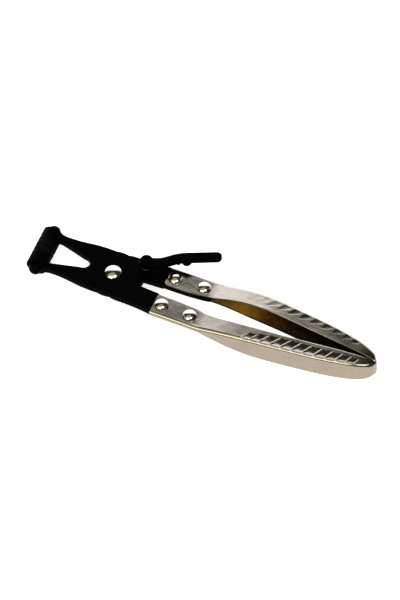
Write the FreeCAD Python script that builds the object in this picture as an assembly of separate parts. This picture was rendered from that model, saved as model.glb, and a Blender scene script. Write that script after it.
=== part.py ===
import FreeCAD, Part
import math
import os
from FreeCAD import Vector

# Locking lever tongs, millimetres.
# X runs along the tongs: gripping pads at -X, handle tips at +X.  Z is the main pivot's axis,
# and the origin is the centre of the main pivot at the mid-plane of the two arms.
# The "lever" half has its handle on +Y and carries the lock lever; the "plain" half's handle
# is on -Y.  Pieces found on both halves are drawn for the lever half and carried over.

# ---------------------------------------------------------------- shared dimensions
ARM_T = 3.5            # full thickness of a forged arm
ARM_HALF = ARM_T / 2
TANG_T = 1.96          # thickness of the tang inside a handle
SHEET = 0.70           # handle sheet thickness
HANDLE_X0 = 26.0       # X where a handle starts
TIP_X = 143.4          # X of the handle tips
SIDE_GAP = 0.10        # each handle and pad stands this far off the centre line
FAR = 9.0              # reach along Z that clears any arm or handle

LAP_GAP = 0.03         # each lapped face stands this far off the mid-plane
LAP_R = 12.9           # radius of the lapped disc around the pivot

PIVOT_R = 2.5          # main pivot shank radius
RIVET_R = 1.9          # handle rivet shank radius
RIVET_HOLE_R = RIVET_R + 0.03
RIVETS = [(30.2, 8.75), (45.6, 9.15)]   # X, Y of the front and rear handle rivets

PAD_X = -37.24         # X of the pad axis, which runs along Y
PAD_R = 5.25           # radius of the pads and of the barrels that carry them
BARREL_IN = 5.70       # |Y| of a barrel's inner face
BARREL_OUT = 11.15     # |Y| of a barrel's outer face
SPINDLE_R = 2.0        # pad spindle shank radius

SHAFT_R = 1.5          # lock shaft radius
SHAFT_POS_R = 16.85    # distance of the lock shaft from the main pivot
SHAFT_POS_DEG = 32.3   # its bearing from +X with the tongs closed
SHAFT_X = SHAFT_POS_R * math.cos(math.radians(SHAFT_POS_DEG))
SHAFT_Y = SHAFT_POS_R * math.sin(math.radians(SHAFT_POS_DEG))
SHAFT_TOP = 8.2        # Z of the shaft's upper end
CAM_R = 2.75           # lock cam radius away from its nose
CAM_REACH = SHAFT_POS_R - LAP_R - 0.04   # nose to shaft axis; just clears the disc's rim
CAM_Z0, CAM_Z1 = -1.70, -0.10

PIN_R = 0.45           # spring pin radius
PIN_X, PIN_Y = SHAFT_X - 3.9, SHAFT_Y + 1.2
PIN_HOLE_Z = 0.60      # floor of the spring pin's hole


# ---------------------------------------------------------------- helpers
def lines(points):
    """Straight edges joining the points in order."""
    return [Part.makeLine(Vector(*a), Vector(*b)) for a, b in zip(points, points[1:])]


def arc(start, middle, end):
    return Part.Arc(Vector(*start), Vector(*middle), Vector(*end)).toShape()


def spline(points):
    curve = Part.BSplineCurve()
    curve.interpolate([Vector(*p) for p in points])
    return curve


def face_of(edges):
    return Part.Face(Part.Wire(Part.__sortEdges__(edges)))


def polygon(points):
    corners = [Vector(*p) for p in points]
    return Part.Face(Part.makePolygon(corners + [corners[0]]))


def disc(x, y, radius):
    return Part.Face(Part.Wire(Part.makeCircle(radius, Vector(x, y, 0))))


def prism(face, z0, z1):
    base = face.copy()
    base.translate(Vector(0, 0, z0))
    return base.extrude(Vector(0, 0, z1 - z0))


def cylinder(radius, x, y, z0=-FAR, z1=FAR):
    return Part.makeCylinder(radius, z1 - z0, Vector(x, y, z0))


def pad_cylinder(radius, y0, y1):
    """Cylinder along the pad axis."""
    return Part.makeCylinder(radius, y1 - y0, Vector(PAD_X, y0, 0), Vector(0, 1, 0))


def revolve_z(profile, x, y):
    """Solid of revolution about a vertical axis at x, y from (radius, z) points."""
    face = polygon([(radius, 0, z) for radius, z in profile])
    turned = face.revolve(Vector(), Vector(0, 0, 1), 360)
    turned.translate(Vector(x, y, 0))
    return turned


def revolve_y(face):
    return face.revolve(Vector(), Vector(0, 1, 0), 360)


def dome(radius, height, x, y, z, up=True):
    """Round rivet head standing on z: a spherical cap above a short land."""
    land = 0.25
    cap_h = height - land
    sphere_r = (radius * radius + cap_h * cap_h) / (2 * cap_h)
    mid_angle = math.asin(radius / sphere_r) / 2
    middle = (sphere_r * math.sin(mid_angle), 0,
              height - sphere_r + sphere_r * math.cos(mid_angle))
    edges = lines([(0, 0, 0), (radius, 0, 0), (radius, 0, land)])
    edges.append(arc((radius, 0, land), middle, (0, 0, height)))
    edges += lines([(0, 0, height), (0, 0, 0)])
    head = face_of(edges).revolve(Vector(), Vector(0, 0, 1), 360)
    if not up:
        head.rotate(Vector(), Vector(1, 0, 0), 180)
    head.translate(Vector(x, y, z))
    return head


def solid(shape):
    """The largest solid of a boolean's result, with split faces merged."""
    merged = shape.removeSplitter()
    if merged.ShapeType != "Solid":
        merged = max(merged.Solids, key=lambda piece: piece.Volume)
    return merged


def try_fillet(shape, radius, pick):
    """Fillets the picked edges together or, where that fails, each one that can be done."""
    edges = [edge for edge in shape.Edges if pick(edge)]
    if not edges:
        return shape
    # makeFillet raises when the kernel cannot round the whole set at once
    try:
        rounded = shape.makeFillet(radius, edges)
        if rounded.isValid() and rounded.Volume > 0.5 * shape.Volume:
            return rounded
    except Exception:
        pass
    good = shape
    for edge in edges:
        # an edge that cannot be rounded raises, and is left sharp
        try:
            centre = edge.CenterOfMass
            same = [e for e in good.Edges if (e.CenterOfMass - centre).Length < 1e-3]
            if not same:
                continue
            rounded = good.makeFillet(radius, same)
            if rounded.isValid() and 0.8 * shape.Volume < rounded.Volume <= shape.Volume + 1e-3:
                good = rounded
        except Exception:
            pass
    return good


def flip_half(shape):
    """Carries one half of the tongs onto the other: a half turn about X."""
    flipped = shape.copy()
    flipped.rotate(Vector(), Vector(1, 0, 0), 180)
    return flipped


def mirror_y(shape):
    return shape.mirror(Vector(), Vector(0, 1, 0))


# ---------------------------------------------------------------- handles
CORNER_R = 1.30        # rounded outer corner of a handle

# plan outline: X, |Y| of the inner edge
PLAN_IN = [
    (HANDLE_X0, 3.10), (34.0, 3.25), (42.0, 3.60), (48.0, 4.45), (54.0, 5.35),
    (61.0, 6.10), (71.0, 6.35), (81.5, 6.15), (91.5, 5.40), (101.5, 4.25),
    (111.5, 3.15), (121.5, 2.10), (131.5, 1.15), (138.0, 0.50)]
# plan outline: X, |Y| of the outer edge
PLAN_OUT = [
    (HANDLE_X0, 15.10), (36.0, 15.15), (47.0, 15.20), (60.0, 15.40), (71.0, 15.40),
    (81.5, 14.95), (91.5, 14.10), (101.5, 13.05), (111.5, 11.90), (121.5, 10.40),
    (130.0, 8.65), (135.0, 7.30), (139.4, 5.35), (142.3, 3.00), (TIP_X, SIDE_GAP)]
OUTER_CURVE = spline(PLAN_OUT)

# side outline: X, half depth; flat between the two curves
ROOT_DEPTH = TANG_T / 2 + 0.02 + SHEET
MAX_DEPTH = 7.15
SIDE_RISE = [
    (49.3, ROOT_DEPTH), (51.6, ROOT_DEPTH + 0.22), (55.4, 2.75), (60.5, 3.95), (66.0, 5.05),
    (71.5, 5.90), (78.0, 6.65), (84.0, 7.03), (90.0, MAX_DEPTH)]
SIDE_FALL = [
    (120.0, MAX_DEPTH), (124.5, 7.12), (130.0, 6.98), (135.0, 6.68), (139.0, 6.15),
    (141.9, 5.20), (TIP_X + 0.2, 4.10)]
DRAW_BACK_X0 = 124.0   # an inset side outline is also drawn back in X from here on,
DRAW_BACK_RUN = 18.0   # by the full inset once past this run

HOLLOW_X0 = 20.0       # the inner hollow starts before the handle,
HOLLOW_Y0 = -4.0       # and beyond the centre line, so both are left open

# rounded corners where the inner edge meets the open end
END_ROUND_R = 2.2
END_ROUND_Y = 3.13     # Y at which the rounding runs into the inner edge

# slanted hollows stamped along each handle's outer edge, between ribs that start at these X
RIB_X = [74.3, 78.6, 83.4, 89.0, 94.6, 100.4, 106.3, 112.3, 118.2, 123.8, 129.0, 133.4]
RIB_W = 0.62           # width of the rib between two hollows
RIB_SLANT = [(74.0, 0.80), (92.0, 0.72), (112.0, 0.55), (134.0, 0.38)]   # X, dX per dY
STAMP_DEPTH = 0.36
STAMP_EDGE = 1.45      # plain margin along the outer edge
STAMP_REACH = 6.9      # how far in from the outer edge the hollows reach
STAMP_STEP = 0.21      # each next hollow reaches in this much less
STAMP_FIRST = 0.80     # share of its reach that the first hollow gets


def side_block(inset, x_start, y_start, x_end=None):
    """Side outline in X-Z, inset, extruded from y_start to Y 18; x_end carries it past the tip."""
    rise = [(x, depth - inset) for x, depth in SIDE_RISE]
    fall = []
    for x, depth in SIDE_FALL:
        share = min(1.0, max(0.0, (x - DRAW_BACK_X0) / DRAW_BACK_RUN))
        fall.append((x - inset * share, depth - inset))
    root_z = rise[0][1]
    last_x, last_z = fall[-1]
    edges = []
    for sign in (1, -1):
        upper = [(x, 0, sign * z) for x, z in rise]
        lower = [(x, 0, sign * z) for x, z in fall]
        edges += lines([(x_start, 0, sign * root_z), upper[0]])
        edges.append(spline(upper).toShape())
        edges += lines([upper[-1], lower[0]])
        edges.append(spline(lower).toShape())
    edges += lines([(x_start, 0, -root_z), (x_start, 0, root_z)])
    if x_end is None:
        x_end = last_x
    else:
        for sign in (1, -1):
            edges += lines([(last_x, 0, sign * last_z), (x_end, 0, sign * last_z)])
    edges += lines([(x_end, 0, -last_z), (x_end, 0, last_z)])
    face = face_of(edges)
    face.translate(Vector(0, y_start, 0))
    return face.extrude(Vector(0, 18 - y_start, 0))


def handle_blank():
    """Solid outer form of the handle, with its outer corners rounded."""
    edges = [OUTER_CURVE.toShape(), spline(PLAN_IN).toShape()]
    edges += lines([PLAN_IN[0], PLAN_OUT[0]])
    edges += lines([PLAN_IN[-1], (TIP_X - 0.6, SIDE_GAP), (TIP_X, SIDE_GAP)])
    plan = prism(face_of(edges), -FAR, FAR)
    blank = solid(plan.common(side_block(0.0, 20.0, -2.0, TIP_X + 1.0)))

    def on_outer_corner(edge):
        middle = edge.valueAt((edge.FirstParameter + edge.LastParameter) / 2)
        if edge.Length < 3 or middle.x < 27 or middle.x > TIP_X - 0.4:
            return False
        flat = Vector(middle.x, middle.y, 0)
        nearest = OUTER_CURVE.value(OUTER_CURVE.parameter(flat))
        return (flat - nearest).Length < 0.05 and abs(middle.z) > 1.0
    return try_fillet(blank, CORNER_R, on_outer_corner)


def handle_hollow():
    """Space inside the folded sheet, open towards the centre line and at the arm's end."""
    outline = []
    for p in PLAN_OUT[:-2]:
        parameter = OUTER_CURVE.parameter(Vector(*p))
        along = OUTER_CURVE.tangent(parameter)[0]
        moved = OUTER_CURVE.value(parameter) + Vector(along.y, -along.x, 0) * SHEET
        outline.append((moved.x, moved.y))
    outline[0] = (HOLLOW_X0, outline[0][1])
    outline += [(TIP_X - SHEET - 0.05, 1.2), (TIP_X - SHEET, HOLLOW_Y0)]
    edges = [spline(outline).toShape()]
    edges += lines([outline[-1], (HOLLOW_X0, HOLLOW_Y0), outline[0]])
    plan = prism(face_of(edges), -FAR, FAR)
    return solid(plan.common(side_block(SHEET, 15.0, -6.0)))


def outer_edge_y(x):
    """Y of the handle's outer edge at x, by bisection along the curve."""
    low, high = OUTER_CURVE.FirstParameter, OUTER_CURVE.LastParameter
    for _ in range(50):
        middle = (low + high) / 2
        if OUTER_CURVE.value(middle).x < x:
            low = middle
        else:
            high = middle
    return OUTER_CURVE.value(low).y


def rib_slant(x):
    for (xa, slant_a), (xb, slant_b) in zip(RIB_SLANT, RIB_SLANT[1:]):
        if x <= xb:
            return slant_a + (slant_b - slant_a) * (x - xa) / (xb - xa)


def stamp_plan(i, lean):
    """Plan of hollow i; lean is the sign of its ribs' slant."""
    xa = RIB_X[i] + RIB_W / 2
    xb = RIB_X[i + 1] - RIB_W / 2
    reach = STAMP_REACH - STAMP_STEP * i
    if i == 0:
        reach *= STAMP_FIRST

    def corner(x, inward):
        return x + lean * rib_slant(x) * inward, outer_edge_y(x) - inward
    return polygon([corner(xa, STAMP_EDGE), corner(xb, STAMP_EDGE),
                    corner(xb, reach), corner(xa, reach)])


def handle():
    """Folded sheet handle: a channel open towards the centre line and closed round its tip."""
    body = handle_blank().cut(handle_hollow())

    # The ribs lean one way on the upper face and the other way on the lower face, so that one
    # stamping serves both halves and their upper ribs run the same way.
    core = side_block(STAMP_DEPTH, 15.0, -6.0, TIP_X + 1.0)
    for z0, z1, lean in ((0.5, FAR, -1), (-FAR, -0.5, 1)):
        for i in range(len(RIB_X) - 1):
            stamp = prism(stamp_plan(i, lean), z0, z1).cut(core)
            if stamp.Volume > 0.05:
                body = body.cut(stamp)

    for x, y in RIVETS:
        body = body.cut(cylinder(RIVET_HOLE_R, x, y))

    round_x = HANDLE_X0 + END_ROUND_R
    corner = prism(polygon([(25, 2.0), (round_x, 2.0), (round_x, END_ROUND_Y + 0.01),
                            (HANDLE_X0, 5.3), (25, 5.3)]), -FAR, FAR)
    rounder = cylinder(END_ROUND_R, round_x, END_ROUND_Y + END_ROUND_R)
    return solid(body.cut(corner.cut(rounder)))


# ---------------------------------------------------------------- arms
LAP_CLEAR = 0.10       # radial clearance around the other arm's lapped disc
ARM_EDGE_R = 0.35      # rounding of the arms' outlines
TANG_END = 51.0        # X of the tang's far end

# X, Y of the outer edge from the pivot to the handle, and of the leg from the pivot to its barrel
ROOT_OUT = [(3.1, 12.5), (5.2, 13.0), (10.0, 13.10), (15.0, 13.20), (21.0, 13.60),
            (HANDLE_X0, 14.30)]
LEG_OUT = [(-3.1, -12.5), (-8.0, -12.55), (-14.7, -12.1), (-20.0, -11.35), (-27.0, -10.85),
           (-32.5, -10.95)]
# X, Y round the tang
TANG_PLAN = [(25.0, 2.9), (HANDLE_X0, 2.72), (34.0, 2.80), (42.0, 3.15), (47.5, 3.55),
             (TANG_END, 4.25), (TANG_END, 12.6), (49.0, 14.25), (HANDLE_X0, 14.25), (25.0, 14.2)]

WEB_DEG = 52           # where the web leaves the barrel, up from the arm's plane
WEB_OUT, WEB_IN = -11.0, -7.25          # Y range of the web
WEB_STEPS = [(-32.4, 2.50), (-30.1, ARM_HALF)]   # X, half depth of the web towards the leg


def arm_root():
    """Plan of the lever arm between the pivot and the handle."""
    inner_y = SIDE_GAP / 2
    edges = [spline(ROOT_OUT).toShape()]
    edges += lines([ROOT_OUT[-1], (HANDLE_X0, 2.75), (15.9, 2.25), (15.6, 1.95),
                    (15.6, inner_y), (2.0, inner_y), ROOT_OUT[0]])
    return face_of(edges)


def arm_leg():
    """Plan of the lever arm's leg, on -Y, from the lapped disc to its barrel."""
    edges = [spline(LEG_OUT).toShape()]
    edges += lines([LEG_OUT[-1], (-36.0, -11.10), (-36.0, -7.3), (-33.0, -7.9), (-16.2, -3.45)])
    edges.append(arc((-16.2, -3.45), (-14.0, -2.55), (-12.95, -1.1)))
    edges += lines([(-12.95, -1.1), (-2.0, -1.0), LEG_OUT[0]])
    return face_of(edges)


def barrel_web():
    """Swelling that joins the barrel to the leg."""
    angle = math.radians(WEB_DEG)
    tangent_x = PAD_X + PAD_R * math.cos(angle)
    tangent_z = PAD_R * math.sin(angle)
    upper = [(PAD_X, tangent_z), (tangent_x, tangent_z)] + WEB_STEPS
    outline = upper + [(x, -z) for x, z in reversed(upper)]
    web = polygon([(x, 0, z) for x, z in outline])
    web.translate(Vector(0, WEB_OUT, 0))
    web = web.extrude(Vector(0, WEB_IN - WEB_OUT, 0))
    beyond_leg = polygon([(-38, -11.05), (-36, -11.05), (-36, -7.3), (-38, -7.3)])
    return web.common(prism(arm_leg().fuse(beyond_leg), -6, 6))


def cam_pocket():
    """Pocket under the lever arm for the lock cam: deep towards the pivot, shallow behind."""
    deep = disc(SHAFT_X, SHAFT_Y, CAM_REACH + 0.22).common(disc(0, 0, SHAFT_POS_R + 0.1))
    plan = deep.fuse(disc(SHAFT_X, SHAFT_Y, CAM_R + 0.15))
    return prism(plan, -ARM_HALF - 1, LAP_GAP)


def arm(carries_lock):
    """One forged arm: handle side on +Y, leg on -Y, lapped disc in the upper half."""
    root, leg = arm_root(), arm_leg()
    other_disc = cylinder(LAP_R + LAP_CLEAR, 0, 0, -ARM_HALF - 1, LAP_GAP)
    body = prism(disc(0, 0, LAP_R), LAP_GAP, ARM_HALF)
    body = body.fuse([prism(root, LAP_GAP, ARM_HALF),
                      prism(leg, LAP_GAP, ARM_HALF),
                      prism(root, -ARM_HALF, LAP_GAP).cut(other_disc),
                      prism(leg, -ARM_HALF, LAP_GAP).cut(other_disc)])
    # outside the disc the handle side keeps to +Y of the centre line
    body = body.cut(Part.makeBox(20, 5, 10, Vector(13.0, -5 + SIDE_GAP / 2, -5)))
    body = body.fuse(prism(polygon(TANG_PLAN), -TANG_T / 2, TANG_T / 2))
    body = body.fuse([pad_cylinder(PAD_R, -BARREL_OUT, -BARREL_IN), barrel_web()])

    # the pivot is looser in the arm that carries the lock
    body = body.cut(cylinder(PIVOT_R + (0.05 if carries_lock else 0.02), 0, 0))
    for x, y in RIVETS:
        body = body.cut(cylinder(RIVET_HOLE_R, x, y))
    body = body.cut(pad_cylinder(SPINDLE_R + 0.05, -20, 0))
    if carries_lock:
        body = body.cut(cylinder(SHAFT_R + 0.05, SHAFT_X, SHAFT_Y))
        body = body.cut(cam_pocket())
        body = body.cut(cylinder(PIN_R + 0.01, PIN_X, PIN_Y, PIN_HOLE_Z, 5))
    body = solid(body)

    def on_outline(edge):
        """Edges of the two flat faces, apart from the holes, the tang and the barrel."""
        if edge.Length < 0.8:
            return False
        box = edge.BoundBox
        on_face = box.ZLength < 1e-4 and abs(abs(box.ZMin) - ARM_HALF) < 1e-4
        if not on_face or box.XMin < -32 or box.XMax > 25.9:
            return False
        return not (isinstance(edge.Curve, Part.Circle) and edge.Curve.Radius < 3.2)
    return try_fillet(body, ARM_EDGE_R, on_outline)


# ---------------------------------------------------------------- rivets
PIVOT_HEAD_R, PIVOT_HEAD_H = 4.1, 2.5   # upper dome of the main pivot: plan radius, height
PIVOT_TAIL_R, PIVOT_TAIL_H = 3.7, 1.7   # lower dome, on the burr
RIVET_HEAD_R, RIVET_HEAD_H = 3.55, 2.8  # both domes of a handle rivet
BURR_R = 5.2                            # washer under the main pivot's lower dome
BURR_T = 0.9
SHANK_LAP = 0.1                         # how far a shank runs into its domes


def handle_rivet(x, y):
    z = ROOT_DEPTH + 0.01
    shank = cylinder(RIVET_R, x, y, -z - SHANK_LAP, z + SHANK_LAP)
    return solid(shank.fuse([dome(RIVET_HEAD_R, RIVET_HEAD_H, x, y, z),
                             dome(RIVET_HEAD_R, RIVET_HEAD_H, x, y, -z, up=False)]))


def pivot_rivet():
    z_head = ARM_HALF + 0.02
    z_tail = -(z_head + BURR_T + 0.02)
    shank = cylinder(PIVOT_R, 0, 0, z_tail - SHANK_LAP, z_head + SHANK_LAP)
    return solid(shank.fuse([dome(PIVOT_HEAD_R, PIVOT_HEAD_H, 0, 0, z_head),
                             dome(PIVOT_TAIL_R, PIVOT_TAIL_H, 0, 0, z_tail, up=False)]))


def pivot_burr():
    top = -(ARM_HALF + 0.01)
    bottom = top - BURR_T
    burr = cylinder(BURR_R, 0, 0, bottom, top).cut(cylinder(PIVOT_R + 0.03, 0, 0))

    def on_lower_rim(edge):
        return (isinstance(edge.Curve, Part.Circle)
                and abs(edge.Curve.Radius - BURR_R) < 1e-3
                and edge.BoundBox.ZMin < bottom + 0.01)
    return try_fillet(burr, 0.25, on_lower_rim)


# ---------------------------------------------------------------- lock
CAM_NOSE_R = 1.35
WASHER_R, WASHER_TOP = 3.35, 2.25
WASHER_CHAMFER = 0.13
PIN_TOP = 3.5
PIN_CHAMFER = 0.15

HUB_R = 3.2            # lock lever hub radius
NECK_R = 1.95          # neck of the hub, inside the spring's coil
HUB_Z0, HUB_Z1 = 2.30, 9.25
COIL_Z0, COIL_Z1 = 2.55, 4.75
WIRE_R = 0.28          # spring wire radius
COIL_R = 2.42          # spring coil's mean radius
COIL_TURNS = 3.5
POINTS_PER_TURN = 16
SPRING_LEG = 3.0       # length of the lower leg
UPPER_LEG = SPRING_LEG * 0.8
SPRING_DEG = 160.0     # bearing of the coil's start

BAR_Z0, BAR_Z1 = 5.25, 8.2
BAR_HALF = 2.57        # half width of the lever's bar
BAR_SPANS = 10         # spans into which the bar's edges are sampled
# X, Y of the bar's centre line, from the shaft axis
BAR_LINE = [(0.0, 0.0), (3.0, 0.75), (5.9, 1.9), (8.85, 3.90), (11.8, 6.60),
            (15.42, 9.28), (20.22, 11.68), (26.72, 14.73), (31.12, 16.80)]
# lumps on the bar's edge facing the handle: share of the centre line, radius, depth of centre
LUMPS = [(0.575, 2.6, 0.85), (0.445, 0.8, 0.15)]


def lock_shaft():
    """Shaft of the lock: riveted over the cam below, pressed into the lever's hub above."""
    head_top = CAM_Z0 - 0.03
    return revolve_z([(0, -2.55), (1.55, -2.55), (2.15, -2.30), (2.35, head_top),
                      (SHAFT_R, head_top), (SHAFT_R, SHAFT_TOP - 0.4),
                      (SHAFT_R - 0.4, SHAFT_TOP), (0, SHAFT_TOP)], SHAFT_X, SHAFT_Y)


def lock_cam():
    """Cam fixed to the shaft, its nose pointing at the pivot, close to the lapped disc's rim."""
    nose_x = CAM_REACH - CAM_NOSE_R
    tangent = math.acos((CAM_R - CAM_NOSE_R) / nose_x)
    cos_t, sin_t = math.cos(tangent), math.sin(tangent)
    back_x, back_y = CAM_R * cos_t, CAM_R * sin_t
    front_x, front_y = nose_x + CAM_NOSE_R * cos_t, CAM_NOSE_R * sin_t
    edges = lines([(back_x, back_y), (front_x, front_y)])
    edges += lines([(back_x, -back_y), (front_x, -front_y)])
    edges.append(arc((front_x, front_y), (CAM_REACH, 0), (front_x, -front_y)))
    edges.append(arc((back_x, back_y), (-CAM_R, 0), (back_x, -back_y)))
    cam = prism(face_of(edges), CAM_Z0, CAM_Z1)
    cam = cam.cut(cylinder(SHAFT_R + 0.01, 0, 0))
    cam.rotate(Vector(), Vector(0, 0, 1), 180 + SHAFT_POS_DEG)
    cam.translate(Vector(SHAFT_X, SHAFT_Y, 0))
    return cam


def lock_washer():
    bore, bottom = SHAFT_R + 0.06, ARM_HALF + 0.03
    return revolve_z([(bore, bottom), (WASHER_R, bottom), (WASHER_R, WASHER_TOP - WASHER_CHAMFER),
                      (WASHER_R - WASHER_CHAMFER, WASHER_TOP), (bore, WASHER_TOP)],
                     SHAFT_X, SHAFT_Y)


def spring_pin():
    bottom = PIN_HOLE_Z + 0.02
    return revolve_z([(0, bottom), (PIN_R, bottom), (PIN_R, PIN_TOP - PIN_CHAMFER),
                      (PIN_R - PIN_CHAMFER, PIN_TOP), (0, PIN_TOP)], PIN_X, PIN_Y)


def lock_spring():
    """Torsion spring round the hub's neck, with a straight tangent leg at each end."""
    z0 = COIL_Z0 + WIRE_R + 0.02
    z1 = COIL_Z1 - WIRE_R - 0.06
    points = [Vector(COIL_R, -SPRING_LEG * k / 4.0, z0) for k in (4, 3, 2, 1)]
    count = int(POINTS_PER_TURN * COIL_TURNS)
    for i in range(count + 1):
        angle = 2 * math.pi * COIL_TURNS * i / count
        points.append(Vector(COIL_R * math.cos(angle), COIL_R * math.sin(angle),
                             z0 + (z1 - z0) * i / count))
    coil_end = points[-1]
    along = Vector(-math.sin(angle), math.cos(angle), 0)
    points += [coil_end + along * (UPPER_LEG * k / 3.0) for k in (1, 2, 3)]

    pipe = Part.BRepOffsetAPI.MakePipeShell(Part.Wire(spline(points).toShape()))
    pipe.setBiNormalMode(Vector(0, 0, 1))
    pipe.add(Part.Wire(Part.makeCircle(WIRE_R, points[0], Vector(0, 1, 0))))
    pipe.build()
    pipe.makeSolid()
    spring = pipe.shape()
    # the sweep may come out inside out
    if spring.Volume < 0:
        spring.reverse()
    spring.rotate(Vector(), Vector(0, 0, 1), SPRING_DEG)
    spring.translate(Vector(SHAFT_X, SHAFT_Y, 0))
    return spring


def lever_hub():
    """Neck inside the spring, then the barrel with its crowned top."""
    return revolve_z([(0, HUB_Z0), (NECK_R, HUB_Z0), (NECK_R, COIL_Z1), (HUB_R - 0.15, COIL_Z1),
                      (HUB_R, COIL_Z1 + 0.15), (HUB_R, HUB_Z1 - 0.55),
                      (HUB_R - 0.16, HUB_Z1 - 0.25), (HUB_R - 0.6, HUB_Z1 - 0.05),
                      (HUB_R - 1.2, HUB_Z1), (0, HUB_Z1)], 0, 0)


def lock_lever():
    centre_line = spline(BAR_LINE)

    def station(share):
        """Point, direction of travel and leftward normal at a share of the centre line."""
        first, last = centre_line.FirstParameter, centre_line.LastParameter
        parameter = first + (last - first) * share
        along = centre_line.tangent(parameter)[0]
        return centre_line.value(parameter), along, Vector(-along.y, along.x, 0)

    left, right = [], []
    for i in range(BAR_SPANS + 1):
        point, along, normal = station(i / BAR_SPANS)
        left.append(point + normal * BAR_HALF)
        right.append(point - normal * BAR_HALF)
    edges = [spline(left).toShape(), spline(right).toShape()]
    edges += lines([left[0], right[0]])
    edges.append(arc(left[-1], point + along * BAR_HALF, right[-1]))
    bar = prism(face_of(edges), BAR_Z0, BAR_Z1)

    additions = []
    for share, radius, sink in LUMPS:
        point, along, normal = station(share)
        centre = point - normal * (BAR_HALF - sink)
        additions.append(cylinder(radius, centre.x, centre.y, BAR_Z0, BAR_Z1))
    lever = solid(bar.fuse(additions + [lever_hub()]))

    def on_bar_outline(edge):
        box = edge.BoundBox
        on_face = box.ZLength < 1e-4 and min(abs(box.ZMin - BAR_Z0), abs(box.ZMin - BAR_Z1)) < 1e-4
        return on_face and box.XMax > 3.4 and edge.Length > 0.3
    lever = try_fillet(lever, 0.7, on_bar_outline)
    # blind bore for the shaft, from below
    lever = solid(lever.cut(cylinder(SHAFT_R + 0.02, 0, 0, HUB_Z0 - 1, SHAFT_TOP + 0.15)))
    lever.translate(Vector(SHAFT_X, SHAFT_Y, 0))
    return lever


# ---------------------------------------------------------------- pads, on the leg's -Y side
FLANGE_Y = 3.30        # |Y| of the spindle flange's inner face
SPINDLE_END = 13.4     # |Y| of the spindle's outer end
CAP_R = 3.4            # radius of the domed cap on the spindle
CAP_LAND = 0.60        # straight rim of the cap under its dome
GROOVE_SIDE = 0.9      # square bar, set on edge, that cuts the pad's grooves
GROOVE_L = 12.0


def pad_spindle():
    """Steel spindle: a flange against the barrel, and a shank through it."""
    back = -BARREL_IN + 0.03
    spindle = revolve_y(polygon([(0, -FLANGE_Y), (4.85, -FLANGE_Y), (PAD_R, -3.75),
                                 (PAD_R, -5.20), (PAD_R - 0.45, back), (SPINDLE_R, back),
                                 (SPINDLE_R, -SPINDLE_END), (0, -SPINDLE_END)]))
    spindle.translate(Vector(PAD_X, 0, 0))
    return solid(spindle)


def grip_pad():
    """Moulded pad on the spindle's flange, with two crossed grooves in its gripping face."""
    front, back = -SIDE_GAP, -FLANGE_Y + 0.02
    pad = revolve_y(polygon([(0, front), (4.2, front), (4.9, front - 0.12),
                             (PAD_R, front - 0.55), (PAD_R + 0.02, -1.8),
                             (PAD_R - 0.02, -2.7), (4.85, back), (0, back)]))
    for bearing in (0, 90):
        groove = Part.makeBox(GROOVE_L, GROOVE_SIDE, GROOVE_SIDE,
                              Vector(-GROOVE_L / 2, -GROOVE_SIDE / 2, -GROOVE_SIDE / 2))
        groove.rotate(Vector(), Vector(1, 0, 0), 45)
        groove.rotate(Vector(), Vector(0, 1, 0), bearing)
        groove.translate(Vector(0, front, 0))
        pad = pad.cut(groove)
    pad.translate(Vector(PAD_X, 0, 0))
    return solid(pad)


def pad_cap():
    """Domed cap closed over the spindle's outer end."""
    base = -(BARREL_OUT + 0.03)
    rim = base - CAP_LAND
    diagonal = CAP_R * math.sin(math.pi / 4)
    edges = lines([(0, base), (CAP_R, base), (CAP_R, rim)])
    edges.append(arc((CAP_R, rim), (diagonal, rim - diagonal), (0, rim - CAP_R)))
    edges += lines([(0, rim - CAP_R), (0, base)])
    cap = revolve_y(face_of(edges))
    cap.translate(Vector(PAD_X, 0, 0))
    return solid(cap.cut(pad_cylinder(SPINDLE_R + 0.02, -SPINDLE_END - 0.05, 0)))


# ---------------------------------------------------------------- build and export
def build():
    nodes = {
        "lever_arm": arm(carries_lock=True),
        "plain_arm": flip_half(arm(carries_lock=False)),
        "pivot_rivet": pivot_rivet(),
        "pivot_burr": pivot_burr(),
        "lock_shaft": lock_shaft(),
        "lock_cam": lock_cam(),
        "lock_washer": lock_washer(),
        "lock_spring": lock_spring(),
        "spring_pin": spring_pin(),
        "lock_lever": lock_lever(),
    }
    flipped = {"handle": handle()}
    for place, (x, y) in zip(("front", "rear"), RIVETS):
        flipped["handle_%s_rivet" % place] = handle_rivet(x, y)
    mirrored = {"pad_spindle": pad_spindle(), "grip_pad": grip_pad(), "pad_cap": pad_cap()}
    for pieces, carry_over in ((flipped, flip_half), (mirrored, mirror_y)):
        for name, shape in pieces.items():
            nodes["lever_" + name] = shape
            nodes["plain_" + name] = carry_over(shape)
    return nodes


os.makedirs("parts", exist_ok=True)
for node, shape in build().items():
    shape.exportStep("parts/%s.step" % node)
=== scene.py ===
"""Locking tongs with two pressed nickel handles, lying flat with +Z up.

The handles run along +X from the pivot end to the tip and close on each other at y = 0.
The lever handle lies on the +Y side. The plain handle is the same pressing turned half
round the X axis. Both replace CAD pieces; every other piece keeps its CAD shape.
"""
import bpy, bmesh, math
import numpy as np
from mathutils import Vector, Matrix


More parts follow.
